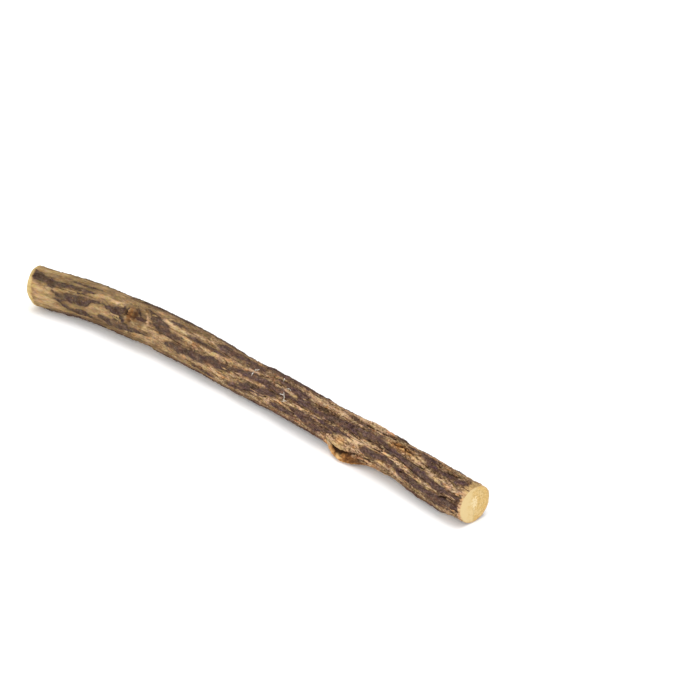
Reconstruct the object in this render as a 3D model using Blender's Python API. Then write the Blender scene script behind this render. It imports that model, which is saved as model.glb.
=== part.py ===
"""Dried catnip stalk: one bark-covered woody stick, sawn at both ends, lying on a flat surface.

Metres, +Z up. +X runs along the stalk from its far cut to its near one, and the origin is the
bottom centre of its box. The bark's plates, ribs and knots are relief worked out by a formula
from the distance along the stalk (mm) and the angle round it (degrees: 0 = +Y, 90 = up).
"""
import math
import random

import bmesh
import bpy
import numpy as np
from mathutils import Vector, noise

NAME = "stalk"
MM = 0.001
LENGTH = 146.5
SIDES = 40
RING_STEP = 1.7
RING_STEP_KNOT = 0.85
PLATE_HEIGHT = 0.32
BOX_CENTRE_X = 69.27
BOX_CENTRE_Y = 2.27

# Centre line: mm along, mm sideways, radius over the bark
CENTRE_LINE = (
    (-3.0, -0.95, 5.22), (5.2, 1.50, 5.08), (13.1, 3.15, 4.95), (27.7, 4.55, 4.90),
    (45.0, 5.15, 4.85), (60.0, 4.95, 4.75), (77.0, 4.45, 4.55), (93.0, 3.35, 4.45),
    (108.0, 2.50, 4.42), (122.0, 1.65, 4.50), (133.0, 0.55, 4.70), (144.0, -0.25, 4.70),
)
# Lift of the underside: it sinks into the surface at three flat spots and arches between them
LIFT = ((0.0, 0.0), (4.0, -0.30), (11.0, -0.30), (18.0, 0.0), (38.0, 0.15), (60.0, -0.25),
        (67.0, -0.55), (74.0, -0.45), (84.0, -0.05), (105.0, 0.15), (124.0, 0.0), (133.0, -0.36),
        (140.0, -0.36), (146.5, 0.0))
KNOT_SPANS = ((28.0, 38.0), (103.0, 115.0), (119.0, 128.0))

# Dark outer bark that still clings to the stick: chains of (mm along, angle, half width in degrees)
PLATES = (
    ((1.0, 113, 12), (4.0, 120, 13), (7.5, 127, 11), (10.5, 126, 6), (14.0, 122, 4), (19.0, 119, 2)),
    ((5.0, 95, 4), (9.0, 92, 6), (14.0, 99, 6), (18.0, 103, 6), (22.0, 98, 5)),
    ((10.5, 158, 7), (13.0, 154, 11), (16.5, 149, 13), (19.5, 145, 10), (23.0, 136, 3), (27.0, 137, 4)),
    ((9.3, 168, 4), (11.0, 179, 6), (14.0, 190, 9), (17.0, 193, 11), (20.5, 191, 7)),
    ((26.5, 139, 4), (28.5, 145, 9), (30.3, 139, 10)),
    ((25.5, 174, 6), (28.0, 179, 9), (32.0, 178, 8), (35.5, 172, 5), (40.0, 166, 4)),
    ((36.2, 136, 4), (38.8, 135, 4)),
    ((37.5, 103, 3), (40.5, 109, 7), (42.5, 119, 12), (46.0, 132, 11), (50.0, 138, 7)),
    ((46.0, 99, 6), (50.0, 97, 6)),
    ((48.0, 165, 8), (52.0, 162, 11), (58.0, 156, 10), (64.0, 150, 8), (70.0, 143, 8),
     (75.0, 132, 9), (80.0, 129, 7), (85.0, 137, 7), (90.0, 134, 7)),
    ((69.0, 189, 5), (72.0, 180, 9), (76.0, 169, 11), (80.0, 160, 10), (84.0, 151, 7)),
    ((54.0, 114, 5), (59.0, 114, 5), (64.0, 116, 3)),
    ((62.5, 95, 8), (66.0, 98, 10), (70.0, 94, 9), (76.0, 99, 8)),
    ((55.0, 192, 4), (62.0, 192, 4)),
    ((84.0, 104, 5), (88.0, 106, 6), (92.0, 110, 9)),
    ((93.0, 126, 11), (97.0, 126, 13), (101.0, 126, 11), (106.0, 124, 12), (111.0, 121, 15),
     (117.0, 116, 13), (121.0, 121, 9), (126.0, 126, 6), (131.0, 134, 9), (135.0, 139, 10),
     (140.0, 148, 7), (145.5, 152, 6)),
    ((85.5, 180, 7), (90.0, 181, 8)),
    ((92.0, 163, 7), (95.0, 171, 14), (98.5, 178, 17), (101.0, 172, 9)),
    ((100.0, 147, 6), (104.0, 150, 11), (107.5, 152, 8)),
    ((108.0, 92, 6), (111.0, 96, 6), (114.0, 100, 7)),
    ((116.5, 158, 16), (119.0, 158, 13), (122.0, 154, 7), (125.5, 159, 8)),
    ((127.5, 169, 7), (130.0, 170, 9), (134.0, 172, 6), (138.5, 170, 8), (142.0, 172, 10), (145.0, 171, 7)),
    ((134.0, 103, 5), (138.0, 104, 6), (143.0, 104, 8), (146.0, 104, 6)),
    ((125.5, 80, 7), (129.0, 84, 10), (132.5, 96, 9)),
    ((136.5, 191, 6), (140.0, 192, 6)),
    ((30.0, 66, 9), (38.0, 60, 12), (47.0, 63, 9)),
    ((78.0, 66, 11), (86.0, 70, 9), (92.0, 62, 8)),
    ((112.0, 64, 7), (121.0, 56, 9)),
)


def hidden_plates():
    """More bark of the same kind on the side that lies away and below."""
    rng = random.Random(11)
    chains = []
    for _ in range(44):
        start = rng.uniform(0.0, 140.0)
        length = rng.uniform(6.0, 24.0)
        angle = rng.uniform(246.0, 400.0)
        slant = rng.uniform(-0.9, 0.9)
        width = rng.uniform(4.0, 12.0)
        chains.append((
            (start, angle, 0.5 * width),
            (start + 0.4 * length, angle + 0.4 * length * slant, width),
            (start + length, angle + length * slant, 0.4 * width),
        ))
    return chains


def curve_through(points, count):
    """Points along a smooth curve that runs through all the given ones."""
    rows = [np.array(p) for p in points]
    rows = [2 * rows[0] - rows[1]] + rows + [2 * rows[-1] - rows[-2]]
    out = []
    for i in range(len(rows) - 3):
        a, b, c, d = rows[i:i + 4]
        for t in np.arange(0.0, 1.0, 1.0 / count):
            out.append(0.5 * (2 * b + (c - a) * t + (2 * a - 5 * b + 4 * c - d) * t ** 2
                              + (3 * b - a - 3 * c + d) * t ** 3))
    out.append(rows[-2])
    return np.array(out)


LINE = curve_through(CENTRE_LINE, 40)
STEPS = np.linalg.norm(np.diff(LINE[:, :2], axis=0), axis=1)
TRAVEL = np.concatenate([[0.0], np.cumsum(STEPS)])


def centre(s):
    """Centre line at s mm: x, y, radius, and the direction it runs in."""
    x, y, r = (np.interp(s, TRAVEL, LINE[:, k]) for k in range(3))
    tx = np.interp(s + 1, TRAVEL, LINE[:, 0]) - np.interp(s - 1, TRAVEL, LINE[:, 0])
    ty = np.interp(s + 1, TRAVEL, LINE[:, 1]) - np.interp(s - 1, TRAVEL, LINE[:, 1])
    size = np.hypot(tx, ty)
    return x, y, r, tx / size, ty / size


def skin_noise(s, a, along, around, seed):
    """Smooth noise on the skin, with waves of about these lengths in mm."""
    th = np.radians(a)
    spots = np.stack([s / along, 4.7 * np.cos(th) / around + 9.3 * seed, 4.7 * np.sin(th) / around], -1)
    values = [noise.noise(Vector(p)) for p in spots.reshape(-1, 3).tolist()]
    return np.array(values).reshape(s.shape)


def turn(a, b):
    """Signed angle from b to a, within half a turn."""
    return (a - b + 180.0) % 360.0 - 180.0


def mound(s, a, s0, a0, half_s, half_a, power=2.0):
    """1 at the middle of an oval spot, falling smoothly to 0 past its edge."""
    d = np.hypot((s - s0) / half_s, turn(a, a0) / half_a)
    return np.exp(-d ** power)


def rise(x, low, high):
    """0 below low, 1 above high, smooth between them."""
    t = np.clip((x - low) / (high - low), 0.0, 1.0)
    return t * t * (3 - 2 * t)


def outer_bark(s, a, chains, edge=0.5):
    """1 where the dark outer bark is left, 0 where the inner bark shows."""
    field = np.full(s.shape, -3.0)
    for chain in chains:
        cs, ca, cw = np.array(chain).T
        past = np.maximum(np.maximum(cs[0] - s, s - cs[-1]), 0.0) / 1.3
        off = turn(a, np.interp(s, cs, ca)) / np.interp(s, cs, cw)
        field = np.maximum(field, 1.0 - np.hypot(off, past))
    field = field + 0.55 * skin_noise(s, a, 3.4, 1.3, 1) + 0.25 * skin_noise(s, a, 1.4, 0.7, 2)
    return rise(field, -0.5 * edge, 0.5 * edge)


def relief(s, a, chains):
    """Height of the skin over the plain stick, in mm."""
    h = PLATE_HEIGHT * (outer_bark(s, a, chains) - 0.45)
    h += 0.16 * skin_noise(s, a, 24.0, 6.0, 3) + 0.12 * skin_noise(s, a, 11.0, 1.7, 4)
    h += 0.07 * np.cos(np.radians(2 * a + 1.1 * s))
    # Branch scar: a swelling with a hollow in it, a small hole below, and folds beyond
    h += 0.30 * mound(s, a, 33.5, 133, 5.5, 42)
    h += 0.45 * mound(s, a, 35.2, 136, 1.5, 26) + 0.25 * mound(s, a, 29.8, 128, 1.2, 18)
    h -= 1.25 * mound(s, a, 32.4, 131, 1.5, 15, 3.0) + 0.5 * mound(s, a, 33.5, 156, 0.9, 6)
    # Broken side shoot that juts out near the surface: a lip, a slot, and a lobe below it
    h += 0.55 * mound(s, a, 107.0, 193, 4.2, 13) + 0.30 * mound(s, a, 110.0, 190, 7.0, 34)
    lobe_s = np.where(s < 108.5, (s - 108.5) / 3.7, (s - 108.5) / 5.4)
    lobe_a = np.where(turn(a, 217) < 0, turn(a, 217) / 12.0, turn(a, 217) / 20.0)
    h += 2.35 * np.exp(-np.hypot(lobe_s, lobe_a) ** 2.6)
    h -= 1.1 * mound(s, a, 108.0, 205, 2.7, 6.5, 3.0)
    # Cracked bud scar on the upper side
    h += 0.65 * mound(s, a, 123.5, 98, 4.6, 15, 3.0)
    h -= 0.6 * mound(s, a, 125.0, 99, 1.3, 6) + 0.45 * mound(s, a, 121.6, 96, 0.8, 5)
    h += 0.35 * mound(s, a, 133.0, 60, 4.0, 16)
    return h


def skin_points(s, a, chains):
    """Points of the skin in mm, trimmed flat where the stick meets the surface."""
    th = np.radians(a)
    # The far cut slants: its lower near side is the shorter one
    slant = 0.6 * np.cos(np.radians(a - 232.0)) - 0.3
    s = s + slant * np.clip(1.0 - s / 9.0, 0.0, 1.0)
    from_far = s - slant
    from_near = LENGTH - s
    x, y, r, tx, ty = centre(s)
    ends = rise(from_far, 0.0, 2.5) * rise(from_near, 0.0, 1.5)
    r = r + relief(s, a, chains) * (0.25 + 0.75 * ends)
    bevel = 0.50 + 0.38 * np.cos(np.radians(a - 212.0))
    r = r - bevel * (1.0 - rise(from_far, -0.1, 1.3))
    peel = 0.10 + 0.32 * np.clip(np.cos(np.radians(a - 88.0)), 0.0, 1.0) ** 4
    r = r - peel * (1.0 - rise(from_near, 0.0, 0.9 + 1.2 * (peel - 0.10) / 0.32))
    lift_s, lift_z = np.array(LIFT).T
    z = centre(s)[2] + np.interp(s, lift_s, lift_z) + r * np.sin(th)
    x = x - ty * np.cos(th) * r - BOX_CENTRE_X
    y = y + tx * np.cos(th) * r - BOX_CENTRE_Y
    return x, y, np.maximum(z, 0.0)


def ring_places():
    """Distances of the rings, closer together at the knots and at both cut edges."""
    places = [0.0, 0.45, 1.0, 2.0]
    while places[-1] < LENGTH - 3.4:
        s = places[-1]
        near_knot = any(low - 1 < s < high for low, high in KNOT_SPANS)
        places.append(s + (RING_STEP_KNOT if near_knot else RING_STEP))
    return places[:-1] + [LENGTH - 2.4, LENGTH - 1.2, LENGTH - 0.45, LENGTH]


def build_stalk():
    """A flat sheet of faces, rolled up into the stalk and closed at both cuts."""
    places = ring_places()
    bm = bmesh.new()
    bmesh.ops.create_grid(bm, x_segments=len(places) - 1, y_segments=SIDES, size=0.5)
    ring = np.array([round((v.co.x + 0.5) * (len(places) - 1)) for v in bm.verts])
    side = np.array([round((v.co.y + 0.5) * SIDES) for v in bm.verts])
    chains = list(PLATES) + hidden_plates()
    s = np.array(places)[ring]
    a = 360.0 * (side % SIDES) / SIDES
    x, y, z = skin_points(s, a, chains)
    for vert, px, py, pz in zip(bm.verts, x, y, z):
        vert.co = (px * MM, py * MM, pz * MM)
    bmesh.ops.remove_doubles(bm, verts=bm.verts, dist=0.000001)
    rims = [e for e in bm.edges if e.is_boundary]
    bmesh.ops.holes_fill(bm, edges=rims, sides=0)
    bmesh.ops.recalc_face_normals(bm, faces=bm.faces)
    bmesh.ops.triangulate(bm, faces=bm.faces)
    mesh = bpy.data.meshes.new(NAME)
    bm.to_mesh(mesh)
    bm.free()
    mesh.shade_smooth()
    mesh.set_sharp_from_angle(angle=math.radians(50))
    return bpy.data.objects.new(NAME, mesh)


def bark_material():
    """Dry, dull bark."""
    material = bpy.data.materials.new("dried_bark")
    material.use_nodes = True
    shader = material.node_tree.nodes["Principled BSDF"]
    shader.inputs["Base Color"].default_value = (0.27, 0.17, 0.10, 1.0)
    shader.inputs["Roughness"].default_value = 0.85
    shader.inputs["Metallic"].default_value = 0.0
    return material


for old in list(bpy.data.objects):
    bpy.data.objects.remove(old, do_unlink=True)
collection = bpy.data.collections.new("dried_catnip_stalk")
bpy.context.scene.collection.children.link(collection)
stalk = build_stalk()
stalk.data.materials.append(bark_material())
collection.objects.link(stalk)
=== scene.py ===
import math
import random
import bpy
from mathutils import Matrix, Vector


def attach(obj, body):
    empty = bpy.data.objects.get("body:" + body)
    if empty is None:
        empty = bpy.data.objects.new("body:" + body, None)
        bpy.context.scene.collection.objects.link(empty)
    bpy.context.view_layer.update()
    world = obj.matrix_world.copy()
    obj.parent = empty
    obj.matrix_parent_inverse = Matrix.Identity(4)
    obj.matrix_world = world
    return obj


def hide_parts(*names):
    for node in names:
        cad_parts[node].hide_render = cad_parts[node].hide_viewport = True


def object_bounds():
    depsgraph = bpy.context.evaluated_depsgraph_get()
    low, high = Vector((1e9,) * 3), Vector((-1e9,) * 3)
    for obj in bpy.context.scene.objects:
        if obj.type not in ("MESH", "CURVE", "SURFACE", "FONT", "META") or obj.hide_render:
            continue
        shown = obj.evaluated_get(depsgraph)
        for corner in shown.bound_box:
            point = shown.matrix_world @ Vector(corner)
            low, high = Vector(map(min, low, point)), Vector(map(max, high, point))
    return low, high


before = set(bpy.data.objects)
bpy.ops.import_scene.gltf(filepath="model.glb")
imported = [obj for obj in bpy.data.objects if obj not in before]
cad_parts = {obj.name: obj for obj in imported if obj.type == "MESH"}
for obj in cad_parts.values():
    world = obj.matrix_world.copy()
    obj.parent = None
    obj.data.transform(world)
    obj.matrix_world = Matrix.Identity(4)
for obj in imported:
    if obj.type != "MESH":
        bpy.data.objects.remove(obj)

from types import SimpleNamespace

import bpy
import numpy as np
from mathutils import Vector, noise

cad_low, cad_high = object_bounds()

# The stick itself: a woody catnip stem with its bark on, gently bowed, sawn to about 147 mm and
# dried. It lies on its side. Places on it are given as mm along it and degrees round it (0 = +Y,
# 90 = up, 180 = the side that faces the viewer), and all its lengths here are in mm.
MM = 0.001
STALK_LENGTH = 146.5
BOX_CENTRE_X = 69.27
BOX_CENTRE_Y = 2.27
MEAN_RADIUS = 4.7
# mm along, mm sideways, radius over the bark
CENTRE_LINE = (
    (-3.0, -0.95, 5.22), (5.2, 1.50, 5.08), (13.1, 3.15, 4.95), (27.7, 4.55, 4.90),
    (45.0, 5.15, 4.85), (60.0, 4.95, 4.75), (77.0, 4.45, 4.55), (93.0, 3.35, 4.45),
    (108.0, 2.50, 4.42), (122.0, 1.65, 4.50), (133.0, 0.55, 4.70), (144.0, -0.25, 4.70),
)
# How far the underside arches over the surface, or is worn flat on it
UNDERSIDE_LIFT = (
    (0.0, 0.0), (4.0, -0.30), (11.0, -0.30), (18.0, 0.0), (38.0, 0.15), (60.0, -0.25),
    (67.0, -0.55), (74.0, -0.45), (84.0, -0.05), (105.0, 0.15), (124.0, 0.0), (133.0, -0.36),
    (140.0, -0.36), (146.5, 0.0),
)


def curve_through(points, count):
    """Points along a smooth curve that runs through all the given ones."""
    rows = [np.array(p) for p in points]
    rows = [2 * rows[0] - rows[1]] + rows + [2 * rows[-1] - rows[-2]]
    out = []
    for i in range(len(rows) - 3):
        a, b, c, d = rows[i:i + 4]
        for t in np.arange(0.0, 1.0, 1.0 / count):
            out.append(0.5 * (2 * b + (c - a) * t + (2 * a - 5 * b + 4 * c - d) * t ** 2
                              + (3 * b - a - 3 * c + d) * t ** 3))
    out.append(rows[-2])
    return np.array(out)


heart_line = curve_through(CENTRE_LINE, 40)
heart_steps = np.linalg.norm(np.diff(heart_line[:, :2], axis=0), axis=1)
heart_travel = np.concatenate([[0.0], np.cumsum(heart_steps)])


def heart(s):
    """Centre line at s mm: x, y, height, radius, and the direction it runs in."""
    x, y, r = (np.interp(s, heart_travel, heart_line[:, k]) for k in range(3))
    tx = np.interp(s + 1, heart_travel, heart_line[:, 0]) - np.interp(s - 1, heart_travel, heart_line[:, 0])
    ty = np.interp(s + 1, heart_travel, heart_line[:, 1]) - np.interp(s - 1, heart_travel, heart_line[:, 1])
    size = np.hypot(tx, ty)
    lift_s, lift_z = np.array(UNDERSIDE_LIFT).T
    return x, y, r + np.interp(s, lift_s, lift_z), r, tx / size, ty / size


def grain(s, a, along, around, seed):
    """Smooth noise over the skin, with waves of about these lengths in mm."""
    th = np.radians(a)
    across = MEAN_RADIUS * np.cos(th) / around + 9.3 * seed
    places = np.stack([s / along, across, MEAN_RADIUS * np.sin(th) / around], -1)
    values = [noise.noise(p) for p in places.reshape(-1, 3).tolist()]
    return np.array(values).reshape(s.shape)


def flakes(s, a, along, around, seed):
    """Flakes of about this size: two random values for each, and 0 on its edge to 1 inside it."""
    th = np.radians(a)
    bent = grain(s, a, 5.0, 1.6, seed), grain(s, a, 1.6, 0.6, seed + 1)
    places = np.stack([
        s / along + 0.7 * bent[0] + 0.25 * bent[1],
        MEAN_RADIUS * np.cos(th) / around + 0.9 * bent[0] + 0.5 * bent[1] + 7.7 * seed,
        MEAN_RADIUS * np.sin(th) / around + 0.9 * bent[0],
    ], -1)
    out = []
    for p in places.reshape(-1, 3).tolist():
        distances, centres = noise.voronoi(p)
        key = centres[0] * 7.31
        other_key = key + Vector((0.0, 91.7, 0.0))
        out.append((noise.cell(key), noise.cell(other_key), distances[1] - distances[0]))
    first, second, gap = np.array(out).T
    return first.reshape(s.shape), second.reshape(s.shape), rise(gap.reshape(s.shape), 0.02, 0.22)


def turn(a, b):
    """Signed angle from b to a, within half a turn."""
    return (a - b + 180.0) % 360.0 - 180.0


def mound(s, a, s0, a0, half_s, half_a, power=2.0):
    """1 at the middle of an oval spot, falling smoothly to 0 past its edge."""
    d = np.hypot((s - s0) / half_s, turn(a, a0) / half_a)
    return np.exp(-d ** power)


def spots(s, a, marks):
    """The sum of some oval spots, each of its own weight."""
    return sum(weight * mound(s, a, *spot) for weight, *spot in marks)


def rise(x, low, high):
    """0 below low, 1 above high, smooth between them."""
    t = np.clip((x - low) / (high - low), 0.0, 1.0)
    return t * t * (3 - 2 * t)


def streaks(s, a, chains):
    """1 on the middle line of the nearest streak, 0 at its edge, less outside it."""
    field = np.full(s.shape, -3.0)
    for chain in chains:
        cs, ca, cw = np.array(chain).T
        past = np.maximum(np.maximum(cs[0] - s, s - cs[-1]), 0.0) / 1.3
        off = turn(a, np.interp(s, cs, ca)) / np.interp(s, cs, cw)
        field = np.maximum(field, 1.0 - np.hypot(off, past))
    return field


# Outer bark: dark purple-grey plates that cling on where the rest has flaked away in drying.
# Each is a chain of (mm along, angle, half width in degrees). Those added by the loop lie round the
# far side and below, and follow a seed.
BARK_PLATES = [
    ((1.0, 113, 12), (4.0, 120, 13), (7.5, 127, 11), (10.5, 126, 6), (14.0, 122, 4), (19.0, 119, 2)),
    ((13.0, 101, 2), (17.0, 104, 3), (21.0, 100, 2)),
    ((10.0, 157, 8), (12.0, 155, 14), (16.0, 152, 16), (19.0, 150, 14), (20.6, 143, 4), (24.0, 137, 2)),
    ((9.3, 166, 2), (11.0, 176, 3), (13.5, 187, 6), (17.0, 191, 9), (20.0, 190, 5)),
    ((26.9, 141, 6), (28.4, 145, 12), (30.0, 142, 14), (31.2, 134, 15), (32.0, 127, 11)),
    ((31.2, 153, 4), (32.2, 163, 8), (33.0, 171, 6)),
    ((35.2, 115, 3), (36.4, 124, 4), (37.4, 134, 5), (38.4, 133, 4)),
    ((25.0, 179, 6), (28.0, 184, 9), (32.0, 183, 8), (35.5, 177, 5), (39.0, 172, 3)),
    ((36.2, 136, 4), (38.8, 135, 4)),
    ((37.8, 99, 3), (40.2, 110, 9), (42.3, 122, 18), (44.5, 133, 14), (47.5, 141, 7), (51.0, 140, 6)),
    ((46.0, 99, 6), (50.0, 97, 6)),
    ((48.0, 165, 8), (52.0, 162, 11), (58.0, 156, 10), (64.0, 150, 8), (70.0, 143, 8),
     (75.0, 132, 9), (80.0, 129, 7), (85.0, 137, 7), (90.0, 134, 7)),
    ((69.0, 189, 5), (72.0, 180, 9), (76.0, 169, 11), (80.0, 160, 10), (84.0, 151, 7)),
    ((53.5, 118, 5), (58.5, 117, 6), (64.0, 116, 3)),
    ((62.0, 92, 8), (66.0, 93, 12), (70.0, 91, 11), (76.0, 96, 9)),
    ((57.0, 195, 2), (62.0, 194, 4)),
    ((84.0, 104, 5), (88.0, 106, 6), (92.0, 110, 9)),
    ((93.0, 128, 9), (97.0, 129, 11), (101.0, 130, 11), (105.0, 129, 11), (108.5, 125, 12),
     (111.5, 119, 12), (115.0, 115, 13), (118.0, 117, 12), (121.0, 122, 9), (126.0, 128, 6),
     (131.0, 135, 8), (135.0, 141, 8), (140.0, 147, 8), (145.5, 150, 7)),
    ((85.5, 180, 7), (90.0, 181, 8)),
    ((92.0, 163, 7), (95.0, 171, 13), (98.5, 176, 14), (101.5, 172, 9), (104.0, 168, 4)),
    ((101.0, 150, 5), (105.0, 152, 7), (107.5, 153, 5)),
    ((107.0, 88, 3), (110.5, 94, 5), (113.5, 100, 5)),
    ((115.8, 158, 12), (118.5, 160, 13), (121.0, 158, 8), (123.5, 156, 5), (126.0, 160, 6)),
    ((127.5, 171, 5), (130.0, 173, 8), (134.0, 175, 7), (138.5, 175, 8), (142.0, 174, 9), (145.0, 173, 6)),
    ((134.0, 103, 5), (138.0, 104, 6), (143.0, 104, 8), (146.0, 104, 6)),
    ((125.5, 78, 5), (129.0, 81, 7), (133.0, 90, 6)),
    ((136.5, 191, 6), (140.0, 192, 6)),
    ((30.0, 66, 9), (38.0, 60, 12), (47.0, 63, 9)),
    # The four chains at 222 to 229 degrees, along the lower side, are painted shade drawn as dark plates
    # where the side turns under
    ((6.0, 226, 5), (14.0, 222, 8), (24.0, 226, 7), (33.0, 229, 4)),
    ((42.0, 228, 4), (50.0, 224, 7), (58.0, 222, 7), (66.0, 226, 5)),
    ((70.0, 222, 5), (78.0, 226, 9), (86.0, 223, 7), (94.0, 228, 9), (101.0, 226, 6)),
    ((128.0, 227, 4), (134.0, 222, 6), (139.0, 226, 4)),
    ((78.0, 66, 11), (86.0, 70, 9), (92.0, 62, 8)),
    ((112.0, 64, 7), (121.0, 56, 9)),
]
plate_draw = random.Random(11)
for _ in range(44):
    start = plate_draw.uniform(0.0, 140.0)
    length = plate_draw.uniform(6.0, 24.0)
    angle = plate_draw.uniform(246.0, 400.0)
    slant = plate_draw.uniform(-0.9, 0.9)
    width = plate_draw.uniform(4.0, 12.0)
    BARK_PLATES.append((
        (start, angle, 0.5 * width),
        (start + 0.4 * length, angle + 0.4 * length * slant, width),
        (start + length, angle + length * slant, 0.4 * width),
    ))

# Pale gap where two plates have parted, running on from the broken shoot to the near end
PALE_GAP = ((112.0, 150, 5), (115.0, 147, 5), (118.0, 143, 5), (123.0, 144, 5), (128.0, 152, 5),
            (132.0, 158, 5), (136.0, 161, 5), (141.0, 163, 3))

# Oval spots of (weight, mm along, angle, half length in mm, half width in degrees): where a
# plate has worn off, where the wood below is rusty, and where it is pale
WORN_SPOTS = ((0.8, 9.6, 141, 2.2, 6), (0.7, 94.8, 145, 3.2, 6), (0.6, 128.6, 107, 3.4, 7),
              (0.6, 120.4, 175, 1.6, 7))
RUSTY_SPOTS = ((0.6, 107.8, 168, 0.9, 9), (0.8, 120.4, 175, 1.2, 6), (0.45, 128.6, 107, 3.0, 6),
               (0.45, 95.2, 145, 2.6, 5), (0.30, 72.4, 147, 2.4, 5), (0.30, 78.0, 144, 1.5, 5))
PALE_SPOTS = ((0.8, 120.4, 175, 1.4, 6), (0.6, 128.6, 107, 3.0, 6), (0.5, 72.4, 147, 2.4, 5),
              (0.5, 94.8, 144, 2.6, 5))


def bark_field(s, a, loose):
    """Above 0 where the outer bark is left: broad patches that have come off flake by flake."""
    patches = streaks(s, a, BARK_PLATES)
    worn = 0.55 * grain(s, a, 3.4, 1.3, 1) + 0.25 * grain(s, a, 1.4, 0.7, 2)
    torn = 0.26 * grain(s, a, 2.4, 0.60, 51) + 0.30 * grain(s, a, 1.0, 0.42, 52)
    torn = torn * (0.7 + 0.5 * rise(s, 40.0, 90.0) + 0.6 * rise(s, 100.0, 126.0))
    return patches + worn, np.maximum(patches, -1.15) + worn + torn + loose


# Inner bark: the tan, fibrous layer under the plates, paler where it was rubbed and browner where
# a thin film of the outer bark is left. Each band is its tone, above 0 for paler, and a chain as above.
TONES = (
    (0.35, ((0.0, 152, 20), (5.0, 156, 22), (9.0, 150, 12))),
    (0.6, ((4.0, 184, 18), (9.0, 190, 12))),
    (0.4, ((0.0, 88, 16), (4.0, 84, 14), (9.0, 80, 10))),
    (0.5, ((10.0, 140, 4), (19.0, 128, 5), (24.0, 112, 8))),
    (0.9, ((27.0, 118, 4), (30.0, 120, 6))),
    (0.7, ((39.0, 155, 8), (44.0, 158, 7), (47.5, 152, 5))),
    (1.0, ((43.5, 104, 6), (46.0, 110, 9), (48.5, 114, 5))),
    (1.2, ((50.7, 111, 6), (54.6, 115, 6))),
    (0.5, ((52.0, 128, 6), (60.0, 131, 6), (68.0, 122, 8), (74.0, 113, 6))),
    (0.45, ((53.0, 182, 7), (62.0, 176, 8), (68.0, 178, 6))),
    (0.6, ((54.0, 97, 7), (62.0, 100, 5))),
    (0.9, ((70.0, 155, 4), (75.0, 146, 4), (80.0, 144, 4))),
    (0.7, ((78.0, 178, 5), (84.0, 168, 6), (92.0, 148, 5), (98.0, 148, 5), (101.0, 146, 3))),
    (1.0, ((85.0, 120, 5), (90.0, 122, 5))),
    (0.9, ((85.5, 161, 3), (89.0, 165, 4), (92.5, 170, 3))),
    (0.9, ((113.5, 146, 5), (117.5, 142, 6), (121.5, 141, 5))),
    (0.6, ((95.0, 90, 7), (101.0, 87, 8), (107.0, 92, 6))),
    (0.6, ((90.0, 92, 12), (98.0, 93, 13), (106.0, 92, 10))),
    (0.9, ((106.5, 158, 5), (111.0, 152, 9), (114.5, 148, 9))),
    (1.0, ((135.5, 128, 6), (140.0, 130, 7), (145.0, 134, 6))),
    (0.8, ((120.5, 142, 3), (124.5, 143, 4), (128.0, 144, 3))),
    (0.9, ((93.0, 144, 4), (95.5, 145, 5), (98.0, 150, 3))),
    (0.5, ((104.0, 185, 12), (109.0, 184, 14), (114.0, 172, 11))),
    (0.9, ((127.0, 106, 4), (131.0, 112, 7), (134.0, 118, 4))),
    (0.4, ((134.0, 127, 6), (139.0, 122, 9), (146.0, 127, 12))),
    (0.8, ((124.0, 178, 8), (128.0, 184, 6), (135.0, 186, 4))),
    (0.8, ((110.0, 84, 5), (118.0, 84, 7), (122.0, 82, 4))),
    (-0.6, ((22.0, 208, 14), (34.0, 212, 14), (48.0, 210, 12))),
    (-0.5, ((97.0, 118, 10), (105.0, 116, 9))),
)


def tone_field(s, a):
    """Paleness of the inner bark, about -1 to 1."""
    wobble = 0.6 * grain(s, a, 5.0, 1.2, 21) + 0.4 * grain(s, a, 1.8, 0.5, 22)
    out = 0.35 * grain(s, a, 12.0, 2.6, 23) + 0.55 * grain(s, a, 3.2, 0.75, 24)
    for weight, chain in TONES:
        out += weight * rise(streaks(s, a, (chain,)) + wobble, -0.35, 0.55)
    return out
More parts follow.
